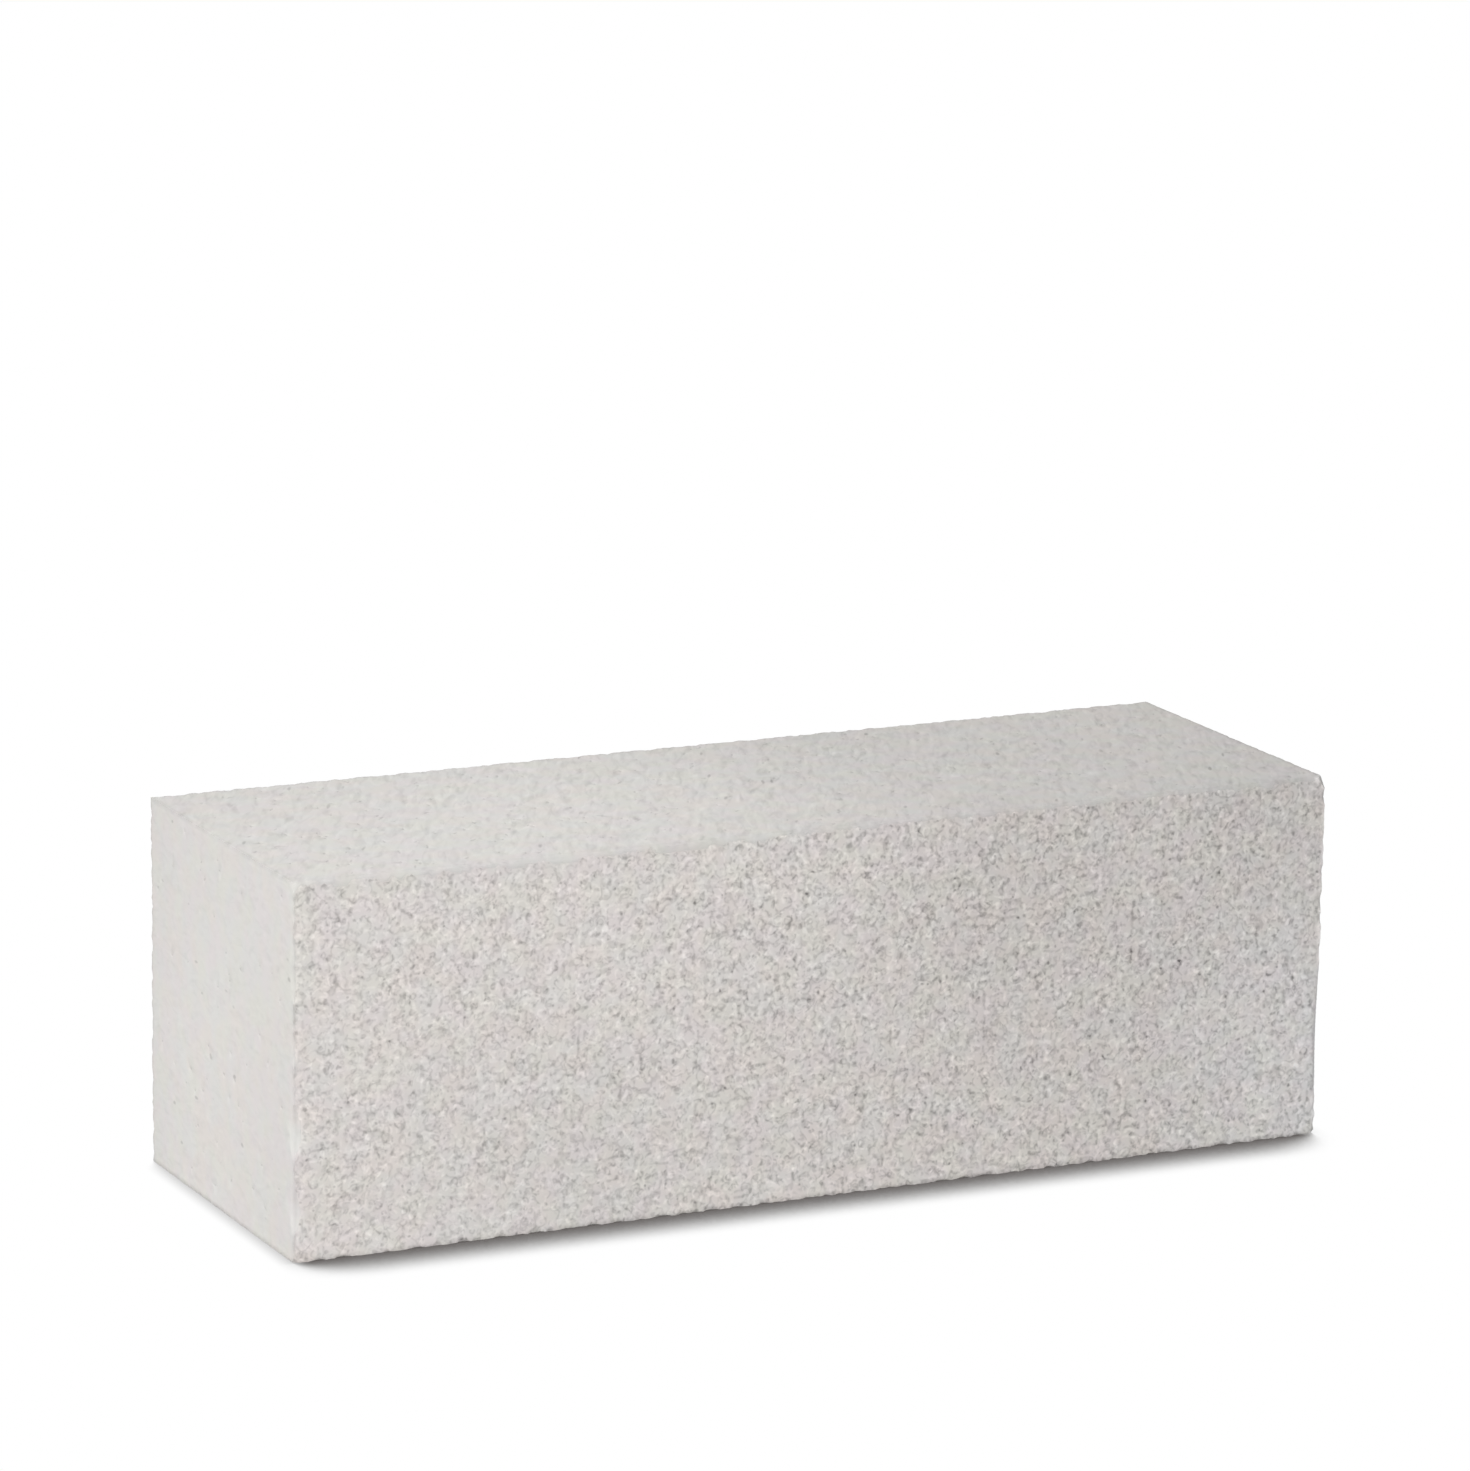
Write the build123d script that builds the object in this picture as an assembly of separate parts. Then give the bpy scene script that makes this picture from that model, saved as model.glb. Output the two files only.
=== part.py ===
from build123d import *

import os

# Masonry block of aerated concrete, one sawn piece, lying on its bed face.
# The frame: origin in the middle of the bottom face, X along the length,
# Y across the width with the front face at -Y, and Z up. Millimetres.

LENGTH = 600.0
WIDTH = 200.0
HEIGHT = 200.0

# The material crumbles, so no arris is sharp. The one between the front face
# and the top is rubbed rounder than the rest.
ARRIS_RADIUS = 0.8
RUBBED_ARRIS_RADIUS = 2.2

# Ends of the length and levels, as signs of X and shares of the height.
LEFT, RIGHT = -1, 1
BOTTOM, TOP = 0, 1

# Corners of the front face that are knocked off: the end, the level, and how
# far the break runs from the corner along X, Y and Z.
CORNER_BREAKS = [
    (RIGHT, TOP, 5.0, 6.0, 7.5),
    (RIGHT, BOTTOM, 3.7, 3.5, 3.4),
    (LEFT, BOTTOM, 3.6, 3.6, 3.6),
]

# Flakes broken from the upright arris at the front left: the height of the
# middle, the length along the arris, and the bite across the corner.
LEFT_FLAKES = [
    (148.0, 20.0, 1.4),
    (110.0, 15.0, 1.1),
    (69.0, 31.0, 3.2),
    (27.0, 26.0, 2.9),
]

# Long shallow rubs: the place of the middle along the arris, the length along
# it, and the bite across the corner. The lower half of the upright arris at
# the front right has one, and the left half of the top arris has three.
RIGHT_RUBS = [(56.0, 96.0, 1.7)]
TOP_RUBS = [(-246.0, 62.0, 1.5), (-150.0, 84.0, 1.7), (-46.0, 70.0, 1.5)]

# How far a roller reaches to each side of the rub it makes, in bites.
ROLLER_REACH = 12.0

UPRIGHT = Vector(0, 0, 1)
ALONG_LENGTH = Vector(1, 0, 0)


def corner_break(end, level, along_x, along_y, along_z):
    """What a knock takes off a corner of the front face: all that lies past
    the plane through the three ends of the break."""
    corner = Vector(end * LENGTH / 2, -WIDTH / 2, level * HEIGHT)
    into_height = -1 if level == TOP else 1
    past_x = corner + Vector(-end * along_x, 0, 0)
    past_y = corner + Vector(0, along_y, 0)
    past_z = corner + Vector(0, 0, into_height * along_z)
    outward = (past_y - past_x).cross(past_z - past_x).normalized()
    if outward.dot(corner - past_x) < 0:
        outward = outward * -1
    middle = (past_x + past_y + past_z) * (1 / 3)
    size = 3 * max(along_x, along_y, along_z)
    past_the_plane = Box(size, size, size, align=(Align.CENTER, Align.CENTER, Align.MIN))
    return Plane(origin=middle, z_dir=outward) * past_the_plane


def bite_radius(length, bite):
    """Radius of an arc whose chord is length and whose rise is bite."""
    return (length**2 / 4 + bite**2) / (2 * bite)


def flake(place, outward, length, bite):
    """A shell-shaped flake off an arris: a ball that dips into it."""
    radius = bite_radius(length, bite)
    middle = place + outward * (radius - bite)
    return Pos(middle.X, middle.Y, middle.Z) * Sphere(radius)


def rub(place, outward, along, length, bite):
    """A long rub along an arris: a wide roller that dips into it."""
    radius = bite_radius(length, bite)
    middle = place + outward * (radius - bite)
    roller = Cylinder(radius, ROLLER_REACH * bite)
    return Plane(origin=middle, x_dir=along, z_dir=outward.cross(along)) * roller


def is_sharp(solid, edge):
    """Whether two flat faces meet at the edge, so that nothing rounds it."""
    beside = [face for face in solid.faces() if edge in face.edges()]
    return all(face.geom_type == GeomType.PLANE for face in beside)


def sound_block():
    """The block with its corners knocked off and every edge rounded."""
    block = Box(LENGTH, WIDTH, HEIGHT, align=(Align.CENTER, Align.CENTER, Align.MIN))
    for knock in CORNER_BREAKS:
        block -= corner_break(*knock)
    front_edges = block.edges().filter_by(Axis.X).group_by(Axis.Y)[0]
    block = fillet(front_edges.sort_by(Axis.Z)[-1], RUBBED_ARRIS_RADIUS)
    sharp = [edge for edge in block.edges() if is_sharp(block, edge)]
    return fillet(sharp, ARRIS_RADIUS)


def worn_block():
    """The sound block with its flakes and rubs taken out."""
    block = sound_block()
    front_left = Vector(-1, -1, 0).normalized()
    for height, length, bite in LEFT_FLAKES:
        block -= flake(Vector(-LENGTH / 2, -WIDTH / 2, height), front_left, length, bite)
    front_right = Vector(1, -1, 0).normalized()
    for height, length, bite in RIGHT_RUBS:
        place = Vector(LENGTH / 2, -WIDTH / 2, height)
        block -= rub(place, front_right, UPRIGHT, length, bite)
    front_top = Vector(0, -1, 1).normalized()
    for along_x, length, bite in TOP_RUBS:
        place = Vector(along_x, -WIDTH / 2, HEIGHT)
        block -= rub(place, front_top, ALONG_LENGTH, length, bite)
    return block


block = worn_block()
os.makedirs("parts", exist_ok=True)
export_step(block, "parts/block.step")
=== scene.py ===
import math
import random

import bpy
import numpy as np
from mathutils import Matrix, Vector, noise
from mathutils.geometry import delaunay_2d_cdt


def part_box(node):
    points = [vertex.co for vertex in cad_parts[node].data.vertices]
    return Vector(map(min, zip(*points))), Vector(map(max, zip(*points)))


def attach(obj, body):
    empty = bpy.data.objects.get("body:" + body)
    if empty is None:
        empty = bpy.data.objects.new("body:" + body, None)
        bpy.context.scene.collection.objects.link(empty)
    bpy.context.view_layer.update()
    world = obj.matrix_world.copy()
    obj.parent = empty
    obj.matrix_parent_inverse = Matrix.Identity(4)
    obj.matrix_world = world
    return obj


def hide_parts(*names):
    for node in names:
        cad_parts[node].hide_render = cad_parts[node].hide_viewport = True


# A block of aerated concrete on a white studio floor. Lengths are in metres,
# and MM turns a length in millimetres into metres.
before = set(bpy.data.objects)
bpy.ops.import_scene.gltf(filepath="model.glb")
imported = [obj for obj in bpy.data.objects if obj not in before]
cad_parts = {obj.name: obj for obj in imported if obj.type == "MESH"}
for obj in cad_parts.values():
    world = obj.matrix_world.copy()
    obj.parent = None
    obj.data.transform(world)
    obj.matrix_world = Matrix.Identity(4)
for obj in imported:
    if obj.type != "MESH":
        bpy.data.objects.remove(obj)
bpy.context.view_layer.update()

MM = 0.001
SEED = 7

low, high = (np.array(corner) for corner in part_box("block"))
MIDDLE = (low + high) / 2
HALF = (high - low) / 2

# Wear of the arrises in millimetres, as on the solid. The first value of each
# flake and rub is its place along the arris, then come its length and its bite.
LEFT_FLAKES = [(148, 20, 1.4), (110, 15, 1.1), (69, 31, 3.2), (27, 26, 2.9)]
RIGHT_RUBS = [(56, 96, 1.7)]
TOP_RUBS = [(-246, 62, 1.5), (-150, 84, 1.7), (-46, 70, 1.5)]
# End of the length, level, and how far the break runs along X, Y and Z.
CORNER_BREAKS = [(1, 1, 5.0, 6.0, 7.5), (1, -1, 3.7, 3.5, 3.4), (-1, -1, 3.6, 3.6, 3.6)]

# A smooth noise is given by the length over which it changes and an offset,
# which sets it apart from the others.
ARRIS_NOISE = (23 * MM, 0.0)
RUBBED_NOISE = (31 * MM, 5.0)
COARSE_NOISE = (5.5 * MM, 11.0)
FINE_NOISE = (2.6 * MM, 17.0)
SHORT_FRAYED_NOISE = (5 * MM, 23.0)
LONG_FRAYED_NOISE = (17 * MM, 29.0)

# The arrises are nearly sharp, but for the one between the front and the top,
# which is rubbed round. Each radius wanders along the arris by an amount. The
# larger one holds within the rubbed reach of that arris.
ARRIS_RADIUS = 0.22 * MM
ARRIS_WANDER = 0.15 * MM
RUBBED_ARRIS_RADIUS = 2.2 * MM
RUBBED_WANDER = 0.5 * MM
RUBBED_REACH = 4 * MM

# Small losses along the arrises: how far they reach, the depth of the coarse
# and the fine ones, what is added to the noise that makes them, and the share
# of them on arrises that no sawn face touches.
CRUMBLED_REACH = 3.2 * MM
COARSE_DEPTH = 0.9 * MM
COARSE_MORE = 0.1
FINE_DEPTH = 0.6 * MM
FINE_MORE = 0.15
SOUND_ARRIS = 0.45

# Nicks along every arris, in millimetres: their lengths, the steps from each
# to the next, the bite as a share of the length, and what is added to it. The
# corners of the block have none.
NICK_LENGTHS = (4, 11)
NICK_STEPS = (8, 26)
NICK_BITES = (0.07, 0.13)
NICK_LEAST = 0.3
NICK_MARGIN = 6
NICK_SEED = SEED + 50

# Points of the mesh: the step along an arris, the rings of points that follow
# the outline of each face at these distances from it, and how much is kept
# free of pores there. The rest is filled on a grid, with points moved at
# random by a share of its step, clear of the pores and a little below the face.
ARRIS_STEP = 2.5 * MM
RING_INSETS = [0.22 * MM, 0.9 * MM, 1.7 * MM, 2.9 * MM, 4.6 * MM]
PORE_MARGIN = 5.4 * MM
FILL_STEP = 6.5 * MM
FILL_INSET = RING_INSETS[-1] + 2 * MM
FILL_JITTER = 0.3
FILL_REACH = 0.6 * MM
FILL_DEPTH = 0.12 * MM

# Distances below which two places are the same, and a point lies on a face,
# and what turns a place into whole numbers, by which the points that two faces
# share are found.
TINY = 1e-9
ON_FACE = 1e-6
KEY_SCALE = 1e7

# Where the sawn surface begins: its uneven distance from an arris, the share of
# that which is there on average, the soft step at which it begins, how much
# nearer it begins at the floor, what the rubbed part of the top arris adds, and
# where along X that part ends and how softly.
FRAYED_MARGIN = 1.5 * MM
FRAYED_MEAN = 0.3
FRAYED_STEP = (-0.4 * MM, 0.5 * MM)
FRAYED_AT_BOTTOM = 3 * MM
RUBBED_MARGIN = 1.7 * MM
RUBBED_END = 20 * MM
RUBBED_FADE = 40 * MM

# How much must be lost for a place to begin to look rubbed, and to look so
# fully. Beside the floor that look is weaker by a share, and beside the floor
# means within these heights: all of it up to the first, none past the second.
RUBBED_LOSSES = (0.35 * MM, 1.1 * MM)
TORN_AT_BOTTOM = 0.8
BOTTOM_BAND = (3 * MM, 6 * MM)

# Soil and painted shade on the arrises: the painted shade holds back the light that the
# rounded arrises and the rubbed places beside them catch. Given are how far it reaches, its
# share on rubbed places, how much more there is beside the floor, against the light that the
# floor throws up, and at the top of the front, against the lamp's light on the rubbed arris,
# how much less at the right of the front, which turns that arris paler, and how near to a side
# such a place lies.
SOIL_AND_SHADE_REACH = 3.0 * MM
SHADE_ON_RUBBED = 0.5
SHADE_AT_BOTTOM = 0.6
SHADE_AT_TOP_FRONT = 0.1
PALER_AT_RIGHT_FRONT = 4
SIDE_REACH = 5 * MM

# Edges between triangles are sharp from this angle on.
SHARP_ANGLE = math.radians(38)

# Marks on the faces that were not sawn are drawn out, in a direction turned
# this far from that of the width.
DRAWN_TURN = math.radians(26)
DRAWN_ALONG = np.array((math.sin(DRAWN_TURN), math.cos(DRAWN_TURN), 0))

# Open pores cut by the sawing wire on the front and back, and the sparser pits of the other
# faces: how many a square metre, the smallest and largest radius, the roundest and the longest
# shape, how far each turns at random from the direction in which marks are drawn out, the
# depth as a share of the radius, and how much painted shade darkens their hollows inside.
SAWN_PORES = dict(
    density=15500,
    radii=(0.6 * MM, 1.5 * MM),
    shapes=(1.0, 1.9),
    stray=math.pi / 2,
    depth=0.10,
    painted_shade=0.45,
)
BED_PITS = dict(
    density=2600,
    radii=(0.5 * MM, 1.1 * MM),
    shapes=(2.6, 4.2),
    stray=0.4,
    depth=0.24,
    painted_shade=0.8,
)
END_PITS = dict(
    density=1500,
    radii=(0.5 * MM, 1.0 * MM),
    shapes=(1.6, 2.6),
    stray=0.6,
    depth=0.24,
    painted_shade=0.7,
)

# Small pores are the more frequent the higher this power is. Pores keep a gap,
# and each is tried at so many places. Those already there are looked up in
# cells, which are wider than two pores reach.
SMALL_POWER = 1.7
PORE_GAP = 0.35 * MM
PORE_TRIES = 30
CELL_SIDE = 6.5 * MM

# The rim of a pore is uneven by an oval and a three-lobed share, and has one
# point more where the pore is long. Its floor has few points, at a share of
# the rim's size. Points stray along the rim, and are uneven in depth.
RIM_OVAL = 0.14
RIM_LOBES = 0.1
RIM_COUNT = 7
LONG_RIM_COUNT = 8
LONG_PORE = 1.6 * MM
FLOOR_COUNT = 4
FLOOR_SHARE = 0.55
POINT_STRAY = 0.12
FLOOR_DEPTHS = (0.8, 1.1)
UNEVEN_DEPTH = 0.06 * MM

# How torn the surface of each kind of face is: 1 where the wire sawed it.
SAWN, BED, END = 1.0, 0.36, 0.17
RUBBED = 0.12

# Each face: outward normal, the direction across, the direction up, its
# kind of pores, and how torn it is.
FACES = {
    "front": ((0, -1, 0), (1, 0, 0), (0, 0, 1), SAWN_PORES, SAWN),
    "back": ((0, 1, 0), (-1, 0, 0), (0, 0, 1), SAWN_PORES, SAWN),
    "left": ((-1, 0, 0), (0, -1, 0), (0, 0, 1), END_PITS, END),
    "right": ((1, 0, 0), (0, 1, 0), (0, 0, 1), END_PITS, END),
    "top": ((0, 0, 1), (1, 0, 0), (0, 1, 0), BED_PITS, BED),
    "bottom": ((0, 0, -1), (1, 0, 0), (0, -1, 0), BED_PITS, BED),
}

# The square texture map has four rows: the long faces lie at the left of a
# row each, and the ends lie beside the first two.
MAP_GAP = 4 * MM
MAP_ROWS = ["front", "back", "top", "bottom"]
MAP_ENDS = ["left", "right"]
MAP_SIDE = 4 * 2 * HALF[2] + 3 * MAP_GAP


def spread(length, count):
    """Even places from one end of a length to the other, about its middle."""
    return [length * (i / count - 0.5) for i in range(count + 1)]


def ring(half_u, half_v, count_u, count_v):
    """Points round a rectangle."""
    points = []
    for u in spread(2 * half_u, count_u):
        points += [(u, -half_v), (u, half_v)]
    for v in spread(2 * half_v, count_v)[1:-1]:
        points += [(-half_u, v), (half_u, v)]
    return points


class Plot:
    """The points of one face: their places across and up, their depths below the face, and how
    much painted shade each carries as a part of a pore's hollow, from 0 to 1."""

    def __init__(self, half_u, half_v):
        self.half_u, self.half_v = half_u, half_v
        self.places, self.depths, self.pore_shades = [], [], []
        self.taken = {}

    def add(self, u, v, depth=0.0, pore_shade=0.0):
        self.places.append((u, v))
        self.depths.append(depth)
        self.pore_shades.append(pore_shade)

    def cell(self, u, v):
        return int(u // CELL_SIDE), int(v // CELL_SIDE)

    def is_free(self, u, v, reach):
        """Whether a circle is clear of every pore so far."""
        column, row = self.cell(u, v)
        for i in (-1, 0, 1):
            for j in (-1, 0, 1):
                for other_u, other_v, other in self.taken.get((column + i, row + j), ()):
                    if math.hypot(u - other_u, v - other_v) < reach + other:
                        return False
        return True

    def take(self, u, v, reach):
        self.taken.setdefault(self.cell(u, v), []).append((u, v, reach))


def add_outline(plot):
    """The rings of points along the arrises, which carry their wear."""
    count_u = round(2 * plot.half_u / ARRIS_STEP)
    count_v = round(2 * plot.half_v / ARRIS_STEP)
    for number, inset in enumerate([0.0] + RING_INSETS):
        half_u, half_v = plot.half_u - inset, plot.half_v - inset
        for u, v in ring(half_u, half_v, count_u - number, count_v - number):
            plot.add(u, v)


def add_pore(plot, draw, u, v, radius, stretch, turn, depth, painted_shade):
    """One open pore: an uneven rim at the face, and its floor."""
    waves = draw.uniform(0, 2 * math.pi), draw.uniform(0, 2 * math.pi)
    rim_count = RIM_COUNT if radius * stretch < LONG_PORE else LONG_RIM_COUNT
    for count, share, down in ((rim_count, 1.0, 0.0), (FLOOR_COUNT, FLOOR_SHARE, 1.0)):
        start = draw.uniform(0, 1)
        for i in range(count):
            angle = 2 * math.pi * (i + start + draw.uniform(-POINT_STRAY, POINT_STRAY)) / count
            oval = RIM_OVAL * math.sin(2 * angle + waves[0])
            lobes = RIM_LOBES * math.sin(3 * angle + waves[1])
            uneven = 1 + oval + lobes
            along = radius * stretch * share * uneven * math.cos(angle)
            across = radius * share * uneven * math.sin(angle)
            plot.add(
                u + along * math.cos(turn) - across * math.sin(turn),
                v + along * math.sin(turn) + across * math.cos(turn),
                depth * down * draw.uniform(*FLOOR_DEPTHS) + draw.uniform(0.0, UNEVEN_DEPTH),
                painted_shade * down,
            )


def add_pores(plot, draw, drawn_turn, density, radii, shapes, stray, depth, painted_shade):
    """Pores thrown at the face, the wide ones first, with none overlapping."""
    room_u, room_v = plot.half_u - PORE_MARGIN, plot.half_v - PORE_MARGIN
    wanted = round(density * 4 * room_u * room_v)
    wider_by = radii[1] - radii[0]
    sizes = [radii[0] + wider_by * draw.random() ** SMALL_POWER for _ in range(wanted)]
    for radius in sorted(sizes, reverse=True):
        stretch = draw.uniform(*shapes)
        turn = drawn_turn + draw.uniform(-stray, stray)
        reach = radius * math.sqrt(stretch) + PORE_GAP / 2
        for _ in range(PORE_TRIES):
            u, v = draw.uniform(-room_u, room_u), draw.uniform(-room_v, room_v)
            if plot.is_free(u, v, reach):
                plot.take(u, v, reach)
                add_pore(plot, draw, u, v, radius, stretch, turn, depth * radius, painted_shade)
                break


def add_fill(plot, draw):
    """Points between the pores, on an uneven grid."""
    half_u, half_v = plot.half_u - FILL_INSET, plot.half_v - FILL_INSET
    jitter = FILL_JITTER * FILL_STEP
    for grid_u in spread(2 * half_u, round(2 * half_u / FILL_STEP)):
        for grid_v in spread(2 * half_v, round(2 * half_v / FILL_STEP)):
            u = grid_u + draw.uniform(-jitter, jitter)
            v = grid_v + draw.uniform(-jitter, jitter)
            if abs(u) < half_u and abs(v) < half_v and plot.is_free(u, v, FILL_REACH):
                plot.add(u, v, draw.uniform(0.0, FILL_DEPTH))


def map_place(name, plot, u, v):
    """The place of a point of a face on the texture map, from 0 to 1."""
    if name in MAP_ROWS:
        corner_u, row = 0.0, MAP_ROWS.index(name)
    else:
        corner_u, row = 2 * HALF[0] + MAP_GAP, MAP_ENDS.index(name)
    corner_v = row * (2 * HALF[2] + MAP_GAP)
    return (corner_u + plot.half_u + u) / MAP_SIDE, (corner_v + plot.half_v + v) / MAP_SIDE


def block_points():
    """The faces of the block as one closed surface before any wear: places, how much painted
    shade each carries in a pore's hollow, how torn, triangles, and corners on the map."""
    keys, places, pore_shades, torn = {}, [], [], []
    triangles, corners = [], []
    for number, (name, (normal, across, up, kind, tearing)) in enumerate(FACES.items()):
        draw = random.Random(SEED + number)
        normal, across, up = (np.array(v, float) for v in (normal, across, up))
        plot = Plot(abs(across @ HALF), abs(up @ HALF))
        add_outline(plot)
        add_pores(plot, draw, math.atan2(up @ DRAWN_ALONG, across @ DRAWN_ALONG), **kind)
        add_fill(plot, draw)
        flat = [Vector(place) for place in plot.places]
        points, _, faces, sources, *_ = delaunay_2d_cdt(flat, [], [], 0, TINY)
        index = []
        for point, (source, *_) in zip(points, sources):
            below = abs(normal @ HALF) - plot.depths[source]
            place = normal * below + across * point.x + up * point.y
            key = tuple(np.round(place * KEY_SCALE).astype(int))
            if key not in keys:
                keys[key] = len(places)
                places.append(place)
                pore_shades.append(plot.pore_shades[source])
                torn.append(tearing)
            index.append(keys[key])
        for triangle in faces:
            triangles.append([index[i] for i in triangle])
            corners += [map_place(name, plot, points[i].x, points[i].y) for i in triangle]
    return np.array(places), np.array(pore_shades), np.array(torn), triangles, corners


def noise_at(places, step, offset):
    """Smooth noise from -1 to 1, that changes over about one step."""
    shift = Vector((offset, offset, offset))
    return np.array([noise.noise(Vector(p) / step + shift) for p in places])


def smooth(low_end, high_end, values):
    """0 below the low end, 1 above the high end, and a soft step between."""
    t = np.clip((values - low_end) / (high_end - low_end), 0, 1)
    return t * t * (3 - 2 * t)


def beside(half, reach, values):
    """1 within a reach of the end at half, and 0 a little farther in."""
    return smooth(half - 1.5 * reach, half - reach, values)


def at_bottom(places):
    """1 beside the arrises of the bottom, and 0 farther up."""
    return 1 - smooth(*BOTTOM_BAND, places[:, 2] + HALF[2])


def round_off(places):
    """Rounds the arrises, by a radius that wanders along them."""
    radius = ARRIS_RADIUS + ARRIS_WANDER * noise_at(places, *ARRIS_NOISE)
    at_top = beside(HALF[2], RUBBED_REACH, places[:, 2])
    at_front = beside(HALF[1], RUBBED_REACH, -places[:, 1])
    rubbed = RUBBED_ARRIS_RADIUS + RUBBED_WANDER * noise_at(places, *RUBBED_NOISE)
    radius = radius + (rubbed - radius) * (at_top * at_front)
    inner = HALF - radius[:, None]
    core = np.clip(places, -inner, inner)
    away = places - core
    on_arris = (np.abs(away) > TINY).sum(1) > 1
    length = np.linalg.norm(away, axis=1)
    length[length == 0] = 1
    rounded = core + away * (radius / length)[:, None]
    return np.where(on_arris[:, None], rounded, places)


def crumble(places):
    """Small losses along the arrises, where the walls of pores gave way."""
    near = np.clip(1 - (HALF - np.abs(places)) / CRUMBLED_REACH, 0, 1)
    on_arris = np.sort(near, axis=1)[:, 1]
    chosen = np.nonzero(on_arris > 0)[0]
    spots = places[chosen]
    coarse = COARSE_DEPTH * np.clip(noise_at(spots, *COARSE_NOISE) + COARSE_MORE, 0, 1)
    fine = FINE_DEPTH * np.clip(noise_at(spots, *FINE_NOISE) + FINE_MORE, 0, 1)
    weakness = SOUND_ARRIS + (1 - SOUND_ARRIS) * near[chosen, 1]
    loss = (coarse + fine) * on_arris[chosen] * weakness
    outward = np.sign(spots) * near[chosen]
    outward /= np.linalg.norm(outward, axis=1)[:, None]
    places = places.copy()
    places[chosen] -= outward * loss[:, None]
    return places


def dip(places, place, outward, along, length, bite, is_ball):
    """Takes a bite out of an arris: a ball's when the flake is shell-shaped,
    or a wide roller's, whose axis lies across the arris."""
    radius = (length**2 / 4 + bite**2) / (2 * bite)
    centre = place + outward * (radius - bite)
    away = places - centre
    if not is_ball:
        roller_axis = np.cross(outward, along)
        away = away - np.outer(away @ roller_axis, roller_axis)
    distance = np.linalg.norm(away, axis=1)
    inside = distance < radius
    places = places.copy()
    push = (radius / distance[inside] - 1)[:, None]
    places[inside] += away[inside] * push
    return places


def arris_point(x_side, y_side, z_side, along):
    """A point on an arris, the way outward there and the way along it, from
    the sides that it lies on. The side that is 0 is the direction of the
    arris, and along is the place on it."""
    sides = np.array((x_side, y_side, z_side), float)
    direction = (sides == 0).astype(float)
    place = sides * HALF + direction * along
    return place, sides / np.linalg.norm(sides), direction


def chip_arrises(places):
    """Flakes, rubs and broken corners, at the places that the solid has."""
    for height, length, bite in LEFT_FLAKES:
        spot = arris_point(-1, -1, 0, height * MM - HALF[2])
        places = dip(places, *spot, length * MM, bite * MM, is_ball=True)
    for height, length, bite in RIGHT_RUBS:
        spot = arris_point(1, -1, 0, height * MM - HALF[2])
        places = dip(places, *spot, length * MM, bite * MM, is_ball=False)
    for along, length, bite in TOP_RUBS:
        spot = arris_point(0, -1, 1, along * MM)
        places = dip(places, *spot, length * MM, bite * MM, is_ball=False)
    for x_side, z_side, *runs in CORNER_BREAKS:
        corner = np.array((x_side, -1, z_side)) * HALF
        outward = np.array((x_side, -1, z_side)) / np.array(runs)
        reach = MM / np.linalg.norm(outward)
        outward /= np.linalg.norm(outward)
        past = np.clip((places - corner) @ outward + reach, 0, None)
        places = places - past[:, None] * outward
    return places


def nick_arrises(places):
    """Small nicks at random places along every arris."""
    draw = random.Random(NICK_SEED)
    for direction in range(3):
        others = [axis for axis in range(3) if axis != direction]
        end = HALF[direction] - NICK_MARGIN * MM
        for side_a in (-1, 1):
            for side_b in (-1, 1):
                sides = [0, 0, 0]
                sides[others[0]], sides[others[1]] = side_a, side_b
                along = -end
                while along < end:
                    length = draw.uniform(*NICK_LENGTHS) * MM
                    bite = length * draw.uniform(*NICK_BITES) + NICK_LEAST * MM
                    bite *= 1 if sides[1] else SOUND_ARRIS
                    spot = arris_point(*sides, along)
                    places = dip(places, *spot, length, bite, is_ball=True)
                    along += draw.uniform(*NICK_STEPS) * MM
    return places


def fray(places, torn):
    """Lets the sawn surface begin at an uneven line beside its arrises, more
    uneven at the top of the front, and farther in where the top is rubbed."""
    from_arris = np.minimum(HALF[0] - np.abs(places[:, 0]), HALF[2] - np.abs(places[:, 2]))
    near = (from_arris < PORE_MARGIN) & (torn > BED)
    spots = places[near]
    at_top_front = (spots[:, 1] < 0) * (spots[:, 2] > HALF[2] - PORE_MARGIN)
    wander = noise_at(spots, *SHORT_FRAYED_NOISE) + noise_at(spots, *LONG_FRAYED_NOISE)
    margin = FRAYED_MARGIN * (FRAYED_MEAN + wander * (1 + at_top_front))
    rubbed = 1 - smooth(RUBBED_END - RUBBED_FADE, RUBBED_END + RUBBED_FADE, spots[:, 0])
    margin += RUBBED_MARGIN * rubbed * at_top_front
    margin -= FRAYED_AT_BOTTOM * at_bottom(spots)
    torn = torn.copy()
    torn[near] *= smooth(*FRAYED_STEP, from_arris[near] - margin)
    return torn


def soil_and_shade_share(places, rubbed):
    """How much soil and painted shade each point has: 1 on an arris, and less on the rubbed
    surface beside it. The painted shade is more beside the floor and at the top of the front,
    and the share is less than 0 at the right of the front, which turns that arris paler."""
    from_arris = np.sort(HALF - np.abs(places), axis=1)[:, 1]
    low_down = at_bottom(places)
    at_front = beside(HALF[1], SIDE_REACH, -places[:, 1])
    at_top = beside(HALF[2], SIDE_REACH, places[:, 2])
    at_right = beside(HALF[0], SIDE_REACH, places[:, 0])
    share = 1 - smooth(0, 1, from_arris / (SOIL_AND_SHADE_REACH * (1 + at_top * at_front)))
    share = np.maximum(share, SHADE_ON_RUBBED * rubbed)
    more = 1 + SHADE_AT_BOTTOM * low_down + SHADE_AT_TOP_FRONT * at_top * at_front
    less = PALER_AT_RIGHT_FRONT * at_right * at_front * (1 - low_down)
    return share * (more - less)


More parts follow.
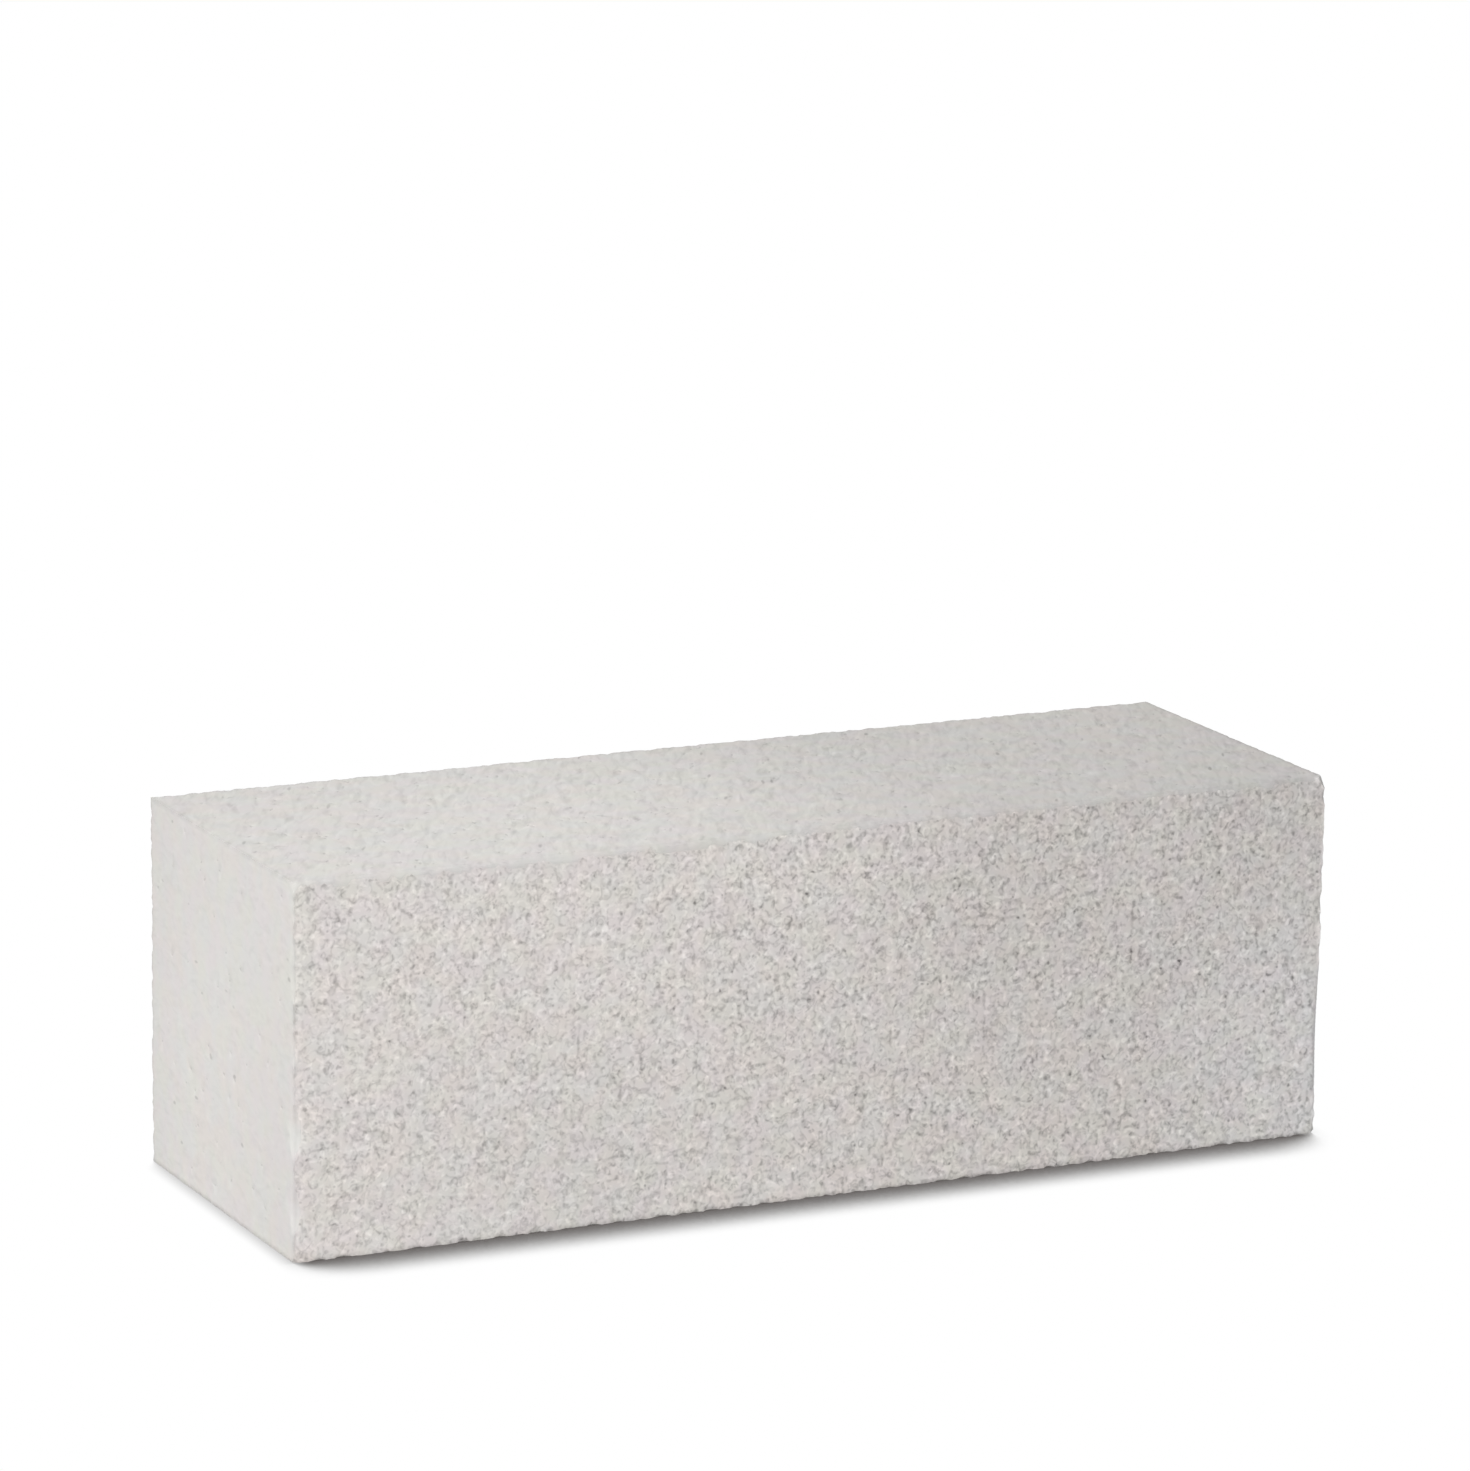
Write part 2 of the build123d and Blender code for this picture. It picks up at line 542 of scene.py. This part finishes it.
def sharpen_arrises(mesh, places):
    """Marks the edges that run along the arrises as sharp, but for the one
    that is rubbed round."""
    on_arris = (HALF - np.abs(places) < ON_FACE).sum(axis=1) > 1
    is_rubbed = (HALF[1] + places[:, 1] < ON_FACE) & (HALF[2] - places[:, 2] < ON_FACE)
    on_arris &= ~is_rubbed
    ends = np.empty(2 * len(mesh.edges), int)
    mesh.edges.foreach_get("vertices", ends)
    along = on_arris[ends].reshape(-1, 2).all(axis=1)
    sharp = mesh.attributes["sharp_edge"]
    marks = np.empty(len(mesh.edges), bool)
    sharp.data.foreach_get("value", marks)
    sharp.data.foreach_set("value", marks | along)


def make_block():
    """The worn block as one closed mesh, in the place of the solid."""
    before, pore_shades, torn, triangles, corners = block_points()
    places = before
    for wear in (round_off, crumble, nick_arrises, chip_arrises):
        places = wear(places)
    rubbed = smooth(*RUBBED_LOSSES, np.linalg.norm(places - before, axis=1))
    soil_and_shade = soil_and_shade_share(before, rubbed)
    torn = torn + (RUBBED - torn) * (rubbed * (1 - TORN_AT_BOTTOM * at_bottom(before)))
    torn = fray(before, torn)
    places = np.clip(places, -HALF, HALF) + MIDDLE

    mesh = bpy.data.meshes.new("aerated_block")
    mesh.from_pydata(places.tolist(), [], triangles)
    mesh.polygons.foreach_set("use_smooth", [True] * len(mesh.polygons))
    mesh.set_sharp_from_angle(angle=SHARP_ANGLE)
    sharpen_arrises(mesh, before)
    # The pore value is painted shade in the pores' hollows, and the soil value holds soil and
    # painted shade along the arrises.
    for name, values in (("pore_shade", pore_shades), ("torn", torn), ("soil_and_shade", soil_and_shade)):
        layer = mesh.attributes.new(name, "FLOAT", "POINT")
        layer.data.foreach_set("value", values.astype(np.float32))
    texture_map = mesh.uv_layers.new(name="OFBake")
    texture_map.data.foreach_set("uv", np.array(corners, np.float32).ravel())
    block = bpy.data.objects.new("aerated_block", mesh)
    bpy.context.scene.collection.objects.link(block)
    return block


class Shader:
    """A node tree with short ways to add nodes and join them."""

    def __init__(self, tree):
        self.tree = tree

    def add(self, kind, inputs=(), **settings):
        made = self.tree.nodes.new(kind)
        for name, value in settings.items():
            setattr(made, name, value)
        for name, value in dict(inputs).items():
            self.feed(value, made.inputs[name])
        return made

    def feed(self, value, socket):
        if isinstance(value, bpy.types.NodeSocket):
            self.tree.links.new(value, socket)
        else:
            socket.default_value = value

    def math(self, operation, a, b=0.0):
        return self.add("ShaderNodeMath", {0: a, 1: b}, operation=operation).outputs[0]

    def vector_math(self, operation, a, b):
        return self.add("ShaderNodeVectorMath", {0: a, 1: b}, operation=operation).outputs[0]

    def scaled(self, vector, scale):
        inputs = {0: vector, "Scale": scale}
        return self.add("ShaderNodeVectorMath", inputs, operation="SCALE").outputs[0]

    def ramp(self, value, from_low, from_high, to_low=0.0, to_high=1.0):
        """A soft step from one value to another."""
        inputs = {0: value, 1: from_low, 2: from_high, 3: to_low, 4: to_high}
        return self.add(
            "ShaderNodeMapRange", inputs, interpolation_type="SMOOTHSTEP"
        ).outputs[0]

    def mix(self, share, a, b, blend_type="MIX"):
        made = self.add("ShaderNodeMix", data_type="RGBA", blend_type=blend_type)
        for number, value in ((0, share), (6, a), (7, b)):
            self.feed(value, made.inputs[number])
        return made.outputs[2]

    def mix_value(self, share, a, b):
        return self.add("ShaderNodeMix", {0: share, 2: a, 3: b}).outputs[0]

    def mix_vector(self, share, a, b):
        return self.add("ShaderNodeMix", {0: share, 4: a, 5: b}, data_type="VECTOR").outputs[1]

    def noise(self, where, size, detail):
        """A noise texture whose patches have about this size."""
        inputs = {"Vector": where, "Scale": 1 / size, "Detail": detail}
        return self.add("ShaderNodeTexNoise", inputs)

    def cells(self, where, spacing):
        inputs = {"Vector": where, "Scale": 1 / spacing}
        return self.add("ShaderNodeTexVoronoi", inputs)

    def attribute(self, name):
        return self.add("ShaderNodeAttribute", attribute_name=name).outputs["Fac"]


# Colours of the concrete: the smooth faces, the sawn faces, and what pink
# and green patches, and yellow and blue ones, multiply them by.
SMOOTH_COLOUR = (0.696, 0.676, 0.665, 1)
SAWN_COLOUR = (0.751, 0.714, 0.700, 1)
PINK_TINT = (1.0, 0.980, 0.985, 1)
GREEN_TINT = (0.980, 0.998, 0.985, 1)
YELLOW_TINT = (1.0, 1.0, 0.970, 1)
BLUE_TINT = (0.990, 0.992, 0.996, 1)

# Pairs of tints with the offset of their pattern, the size of the patches, and
# the values of the noise between which one tint turns into the other.
TINT_PAIRS = ((0.9, GREEN_TINT, PINK_TINT), (1.7, BLUE_TINT, YELLOW_TINT))
MOTTLE_SIZE = 17 * MM
MOTTLE_STEP = (0.35, 0.65)

# Broad areas of painted light and shade, where the concrete is painted paler or darker as the
# light falls along the block; the bluish pale area at the lower right of the front is painted
# light thrown up by the floor. Given are the middle in metres, the radius, and the share that
# each adds to red, green and blue.
PAINTED_LIGHT_AREAS = [
    ((0.30, -0.10, 0.05), 0.14, (0.110, 0.135, 0.165)),
    ((-0.09, 0.05, 0.20), 0.27, (0.105, 0.105, 0.100)),
    ((0.25, 0.10, 0.20), 0.20, (0.085, 0.080, 0.078)),
    ((-0.30, 0.10, 0.05), 0.20, (0.070, 0.070, 0.073)),
    ((-0.32, 0.00, 0.08), 0.15, (0.030, 0.030, 0.025)),
    ((0.10, -0.10, 0.15), 0.10, (-0.044, -0.048, -0.052)),
    ((-0.15, -0.10, 0.00), 0.14, (-0.044, -0.034, -0.030)),
]

# How torn the surface has to be to begin to look sawn, and to look so fully.
SAWN_LOOK = (0.5, 0.9)

# How the texture's coordinates are scaled where marks are drawn out, and how
# they are bent a little everywhere: over what length, and by how much.
DRAWN_SCALE = (0.8, 0.2, 0.8)
BEND_SIZE = 5 * MM
BEND_AMOUNT = 2.4 * MM

# Rims of the wide and the small pores that the wire cut open: their spacing, how wide the line
# is, and the offset of the pattern. A rim's radius is a share of the spacing between these
# two. The rims are painted shade on one part and a painted highlight on another, as a pore's
# wall and edge would be lit.
WIDE_PORES = dict(spacing=5.7 * MM, line_width=1.3 * MM, offset=0.1)
SMALL_PORES = dict(spacing=3.7 * MM, line_width=1.2 * MM, offset=0.5)
RIM_RADII = (0.20, 0.46)

# Torn lines between the pores, at the middle value of a noise: its size, how far from that
# value a line fades out, and the offset of its patches. The lines are the painted shade and
# highlight of small steps in the surface.
TEAR_SPACING = 5.9 * MM
TEAR_WIDTH = 0.12
TEAR_OFFSET = 0.9

# Lines turn into painted shade, a painted highlight or fade out in patches: their size, how
# much their offset differs from that of the pores, the values of the noise between which lines
# turn to shade and to highlight, and what a line's painted shade takes off the colour and its
# painted highlight adds.
PATCH_SIZE = 3.3 * MM
PATCH_OFFSET = 0.3
SHADE_PATCHES = (0.47, 0.60)
HIGHLIGHT_PATCHES = (0.44, 0.34)
PAINTED_LINE_SHADE = -0.18
PAINTED_LINE_HIGHLIGHT = 0.11

# Sawn faces have calmer and rougher areas: their size, the values of the noise
# between which one turns into the other, and the least and the most that the
# lines are multiplied by there.
AREA_SIZE = 11 * MM
AREA_OFFSET = 0.7
AREA_STEP = (0.36, 0.60)
CALM, ROUGH = 0.8, 1.1

# Specks are dots in the cells of a pattern: its spacing, and the shares of it between which a
# dot fades. Each cell draws two lots, and the steps say from which lot on it holds a pit
# painted dark as its shade, more rarely on smooth faces, or a pale grain. The last two values
# are what these take off the colour and add to it.
SPECK_SPACING = 3.8 * MM
DOT_STEP = (0.30, 0.10)
DARK_LOT = (0.75, 0.81)
RARE_LOT = (0.93, 0.97)
PALE_LOT = (0.84, 0.88)
PAINTED_PIT_SHADE = -0.27
PALE_SPECK = 0.08

# Marks are weaker towards one end of the length: the places along X where
# that begins and ends, and what the marks are multiplied by there. The last
# value is what marks take off on average, so that the tone stays even.
CONTRAST_PLACES = (-0.30, 0.12)
CONTRASTS = (0.88, 1.15)
MARKS_MEAN = 0.07

# What the painted shade inside a pore, and the soil and painted shade of an arris, take off
# the colour.
PAINTED_PORE_SHADE = -0.25
ARRIS_SOIL_AND_SHADE = -0.12

# Relief in millimetres: how much a mark raises the surface for each whole
# share that it adds to the colour, and how high the lumps between marks are.
MARKS_RELIEF = 0.035
LUMPS_RELIEF = 0.04
LUMP_SIZE = 6 * MM

ROUGHNESS = 0.95
SPECULAR = 0.25


def band(shader, value, middle, half_width):
    """1 where the value is at the middle, falling to 0 on both sides."""
    off = shader.math("ABSOLUTE", shader.math("SUBTRACT", value, middle))
    return shader.ramp(off, half_width, 0.0)


def moved(shader, where, offset):
    """The same coordinates elsewhere in the texture, for another pattern."""
    return shader.vector_math("ADD", where, (offset, offset, offset))


def multiply(shader, *values):
    """The product of numbers and outputs of nodes."""
    result = values[0]
    for value in values[1:]:
        result = shader.math("MULTIPLY", result, value)
    return result


def add_up(shader, *values):
    """The sum of numbers and outputs of nodes."""
    result = values[0]
    for value in values[1:]:
        result = shader.math("ADD", result, value)
    return result


def drawn_out(shader, place):
    """Coordinates in which a pattern comes out long in one direction."""
    inputs = {"Vector": place, "Angle": DRAWN_TURN}
    turned = shader.add("ShaderNodeVectorRotate", inputs, rotation_type="Z_AXIS")
    return shader.vector_math("MULTIPLY", turned.outputs[0], DRAWN_SCALE)


def uneven_places(shader, where):
    """Coordinates bent a little, so that no pore is a perfect ball."""
    bend = shader.noise(where, BEND_SIZE, 1.0).outputs["Color"]
    bend = shader.vector_math("SUBTRACT", bend, (0.5, 0.5, 0.5))
    return shader.vector_math("ADD", where, shader.scaled(bend, BEND_AMOUNT))


def painted_shade_and_highlight(shader, line, where, offset):
    """How a line is painted along its way: painted shade in some patches, a painted highlight
    in others, and faded out between them."""
    patch = shader.noise(moved(shader, where, offset), PATCH_SIZE, 0.0).outputs["Fac"]
    painted_shade = shader.ramp(patch, *SHADE_PATCHES, 0.0, PAINTED_LINE_SHADE)
    pale = shader.ramp(patch, *HIGHLIGHT_PATCHES, 0.0, PAINTED_LINE_HIGHLIGHT)
    return multiply(shader, line, shader.math("ADD", painted_shade, pale))


def open_pores(shader, where, spacing, line_width, offset):
    """The rims of round pores, drawn as broken arcs of painted shade and painted highlight."""
    cell = shader.cells(moved(shader, where, offset), spacing)
    chance = shader.add("ShaderNodeSeparateColor", {0: cell.outputs["Color"]})
    radius = shader.ramp(chance.outputs[0], 0.0, 1.0, *RIM_RADII)
    from_rim = shader.math("SUBTRACT", cell.outputs["Distance"], radius)
    rim = band(shader, from_rim, 0.0, line_width / spacing)
    return painted_shade_and_highlight(shader, rim, where, offset + PATCH_OFFSET)


def sawn_lines(shader, where, uneven):
    """Lines of the sawn faces, painted as shade and highlights: the rims of pores, and torn
    lines along the contour of a smooth field, stronger in some areas than in others."""
    wide = open_pores(shader, uneven, **WIDE_PORES)
    small = open_pores(shader, uneven, **SMALL_PORES)
    field = shader.noise(where, TEAR_SPACING, 0.0).outputs["Fac"]
    tear = painted_shade_and_highlight(shader, band(shader, field, 0.5, TEAR_WIDTH), where, TEAR_OFFSET)
    area = shader.noise(moved(shader, where, AREA_OFFSET), AREA_SIZE, 1.0).outputs["Fac"]
    area = shader.ramp(area, *AREA_STEP, CALM, ROUGH)
    return multiply(shader, add_up(shader, wide, small, tear), area)


def specks(shader, uneven, sawn):
    """A few cells hold a pit painted dark as its shade, and a few others a pale grain."""
    speck = shader.cells(uneven, SPECK_SPACING)
    lot = shader.add("ShaderNodeSeparateColor", {0: speck.outputs["Color"]})
    dot = shader.ramp(speck.outputs["Distance"], *DOT_STEP)
    dark_lot = shader.ramp(lot.outputs[0], *DARK_LOT)
    pale_lot = shader.ramp(lot.outputs[1], *PALE_LOT)
    rare_lot = shader.ramp(lot.outputs[0], *RARE_LOT)
    pit = multiply(shader, dot, shader.mix_value(sawn, rare_lot, dark_lot), PAINTED_PIT_SHADE)
    grain = multiply(shader, dot, pale_lot, sawn, PALE_SPECK)
    return pit, grain


def painted_light_and_shade(shader, place):
    """What the colour is multiplied by in the broad areas of painted light and shade."""
    tone = (1.0, 1.0, 1.0)
    for middle, radius, amounts in PAINTED_LIGHT_AREAS:
        away = shader.add("ShaderNodeVectorMath", {0: place, 1: middle}, operation="DISTANCE")
        share = shader.ramp(away.outputs["Value"], radius, 0.0)
        tone = shader.vector_math("ADD", tone, shader.scaled(amounts, share))
    return tone


def colour_and_painted_light(shader, place, sawn):
    """The colour of the concrete without its marks: mottled by the tints, and paler or darker
    by the painted light and shade of the broad areas."""
    colour = shader.mix(sawn, SMOOTH_COLOUR, SAWN_COLOUR)
    for offset, tint, other in TINT_PAIRS:
        patches = shader.noise(moved(shader, place, offset), MOTTLE_SIZE, 2.0).outputs["Fac"]
        patches = shader.mix(shader.ramp(patches, *MOTTLE_STEP), tint, other)
        colour = shader.mix(1.0, colour, patches, "MULTIPLY")
    return shader.mix(1.0, colour, painted_light_and_shade(shader, place), "MULTIPLY")


def new_material(name):
    """A material with an empty node tree, and what adds nodes to it."""
    material = bpy.data.materials.new(name)
    material.use_nodes = True
    material.node_tree.nodes.clear()
    return material, Shader(material.node_tree)


def concrete_material():
    """The concrete, sawn or smooth by how torn the surface is."""
    material, shader = new_material("aerated_concrete")
    place = shader.add("ShaderNodeTexCoord").outputs["Object"]
    torn = shader.attribute("torn")
    sawn = shader.ramp(torn, *SAWN_LOOK)
    where = shader.mix_vector(sawn, drawn_out(shader, place), place)
    uneven = uneven_places(shader, where)

    # Marks: lines on torn surfaces, and specks, which paint the shade and highlights of pores
    # and torn steps, with a contrast that changes along the block.
    lines = multiply(shader, sawn_lines(shader, where, uneven), torn)
    along = shader.add("ShaderNodeSeparateXYZ", {0: place}).outputs[0]
    contrast = shader.ramp(along, *CONTRAST_PLACES, *CONTRASTS)
    marks = multiply(shader, add_up(shader, lines, *specks(shader, uneven, sawn)), contrast)

    # Relief: dark lines and pits lie lower, and pale ones stand proud.
    lumps = shader.noise(where, LUMP_SIZE, 1.0).outputs["Fac"]
    lumps = multiply(shader, lumps, LUMPS_RELIEF)
    height = shader.math("ADD", multiply(shader, marks, MARKS_RELIEF), lumps)
    bump = shader.add("ShaderNodeBump", {"Height": height, "Distance": MM, "Strength": 1.0})

    # Colour: the mottled one with the painted light and shade of its broad areas, lighter or
    # darker by the marks, darker by the painted shade inside the pores and by the soil and
    # painted shade of the arrises.
    pore_shade = multiply(shader, shader.attribute("pore_shade"), PAINTED_PORE_SHADE)
    arris_soil_and_shade = multiply(shader, shader.attribute("soil_and_shade"), ARRIS_SOIL_AND_SHADE)
    evened = multiply(shader, shader.math("SUBTRACT", contrast, 1.0), torn, MARKS_MEAN)
    shade = add_up(shader, 1.0, marks, pore_shade, arris_soil_and_shade, evened)
    grey = shader.add("ShaderNodeCombineColor", {0: shade, 1: shade, 2: shade}).outputs[0]
    colour = shader.mix(1.0, colour_and_painted_light(shader, place, sawn), grey, "MULTIPLY")

    surface = shader.add("ShaderNodeBsdfPrincipled", {
        "Base Color": colour,
        "Normal": bump.outputs[0],
        "Roughness": ROUGHNESS,
        "Specular IOR Level": SPECULAR,
    })
    shader.add("ShaderNodeOutputMaterial", {"Surface": surface.outputs[0]})
    return material


block = make_block()
block.data.materials.append(concrete_material())
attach(block, "root")
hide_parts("block")

# The studio: a white floor with a painted shadow, a pale surround and one large soft lamp.
WHITE = (1, 1, 1, 1)
FLOOR_HALF = 6.0
FLOOR_COLOUR = (0.8, 0.8, 0.8, 1)
AMBIENT = 0.283
KEY_PLACE = (-1.332, -0.933, 1.726)
KEY_AIM = (0.0, 0.0, 0.1)
KEY_SIZE = 1.035
KEY_POWER = 44.9

# The soft shadow where the block stands is painted into the floor's seen colour, from how open
# the floor is there: within what reach and towards which direction that is taken, in how many
# tries, how open the floor is where the painted shadow is darkest and where it ends, its
# colour, and between which places at each end it fades.
SHADOW_REACH = 50 * MM
SHADOW_TILT = (0.14, 0.77, 0.62)
SHADOW_TRIES = 24
SHADOW_STEP = (0.26, 0.76)
PAINTED_SHADOW_COLOUR = (0.125, 0.114, 0.109, 1)
SHADOW_ENDS = (0.289, 0.310)


def seen_ray(shader):
    """1 for the rays that show a background: direct, mirrored or refracted."""
    path = shader.add("ShaderNodeLightPath")
    seen = shader.math("MAXIMUM", path.outputs["Is Camera Ray"], path.outputs["Is Glossy Ray"])
    return shader.math("MAXIMUM", seen, path.outputs["Is Transmission Ray"])


def floor_material():
    """White to the eye, but for a painted shadow where the block stands."""
    material, shader = new_material("studio_floor")
    tilt = shader.add("ShaderNodeCombineXYZ", dict(enumerate(SHADOW_TILT))).outputs[0]
    inputs = {"Distance": SHADOW_REACH, "Normal": tilt}
    contact = shader.add("ShaderNodeAmbientOcclusion", inputs, samples=SHADOW_TRIES)
    is_open = shader.ramp(contact.outputs["AO"], *SHADOW_STEP)
    place = shader.add("ShaderNodeTexCoord").outputs["Object"]
    along = shader.add("ShaderNodeSeparateXYZ", {0: place}).outputs[0]
    past_end = shader.ramp(shader.math("ABSOLUTE", along), *SHADOW_ENDS)
    tone = shader.mix(shader.math("MAXIMUM", is_open, past_end), PAINTED_SHADOW_COLOUR, WHITE)
    white_and_shadow = shader.add("ShaderNodeEmission", {"Color": tone, "Strength": 1.0})
    pale = shader.add("ShaderNodeBsdfDiffuse", {"Color": FLOOR_COLOUR})
    inputs = {0: seen_ray(shader), 1: pale.outputs[0], 2: white_and_shadow.outputs[0]}
    both = shader.add("ShaderNodeMixShader", inputs)
    shader.add("ShaderNodeOutputMaterial", {"Surface": both.outputs[0]})
    return material


def make_floor():
    """The floor, which belongs to the studio and not to the part."""
    mesh = bpy.data.meshes.new("studio_floor")
    corners = [(-1, -1), (1, -1), (1, 1), (-1, 1)]
    places = [(x * FLOOR_HALF, y * FLOOR_HALF, 0.0) for x, y in corners]
    mesh.from_pydata(places, [], [(0, 1, 2, 3)])
    mesh.materials.append(floor_material())
    floor = bpy.data.objects.new("studio_floor", mesh)
    bpy.context.scene.collection.objects.link(floor)


def make_world():
    """A pale surround, which is plain white where it is seen."""
    world = bpy.data.worlds.new("studio")
    bpy.context.scene.world = world
    world.use_nodes = True
    world.node_tree.nodes.clear()
    shader = Shader(world.node_tree)
    strength = shader.ramp(seen_ray(shader), 0.0, 1.0, AMBIENT, 1.0)
    light = shader.add("ShaderNodeBackground", {"Color": WHITE, "Strength": strength})
    shader.add("ShaderNodeOutputWorld", {"Surface": light.outputs[0]})


def make_key():
    """The one lamp, above and in front of the left end of the block."""
    light = bpy.data.lights.new("key", "AREA")
    light.shape = "SQUARE"
    light.size = KEY_SIZE
    light.energy = KEY_POWER
    key = bpy.data.objects.new("key", light)
    key.location = KEY_PLACE
    aim = Vector(KEY_AIM) - Vector(KEY_PLACE)
    key.rotation_euler = aim.to_track_quat("-Z", "Y").to_euler()
    bpy.context.scene.collection.objects.link(key)


# The camera: where it looks from, how it is turned about its own axis, how
# far the middle of the block's bottom lies from it, and how far that point
# lies from the middle of the picture.
VIEW_AZIMUTH = math.radians(-25.84)
VIEW_ELEVATION = math.radians(13.04)
VIEW_ROLL = math.radians(0.78)
VIEW_DISTANCE = 3.707
VIEW_OFFSET = (0.0025, -0.2223)
FOCAL_PIXELS = 6863.0
PICTURE_HEIGHT = 1471
SENSOR = 36.0


def make_camera():
    """The camera of the photograph."""
    back = Vector((
        math.sin(VIEW_AZIMUTH) * math.cos(VIEW_ELEVATION),
        -math.cos(VIEW_AZIMUTH) * math.cos(VIEW_ELEVATION),
        math.sin(VIEW_ELEVATION),
    ))
    level = Vector((0, 0, 1)).cross(back).normalized()
    upright = back.cross(level)
    right = math.cos(VIEW_ROLL) * level + math.sin(VIEW_ROLL) * upright
    up = math.cos(VIEW_ROLL) * upright - math.sin(VIEW_ROLL) * level
    place = VIEW_DISTANCE * back - VIEW_OFFSET[0] * right - VIEW_OFFSET[1] * up
    data = bpy.data.cameras.new("camera")
    data.sensor_width = SENSOR
    data.lens = FOCAL_PIXELS * SENSOR / PICTURE_HEIGHT
    camera = bpy.data.objects.new("camera", data)
    turn = Matrix((right, up, back)).transposed().to_4x4()
    camera.matrix_world = Matrix.Translation(place) @ turn
    bpy.context.scene.collection.objects.link(camera)
    bpy.context.scene.camera = camera


make_floor()
make_world()
make_key()
make_camera()
bpy.context.scene.view_settings.view_transform = "Standard"
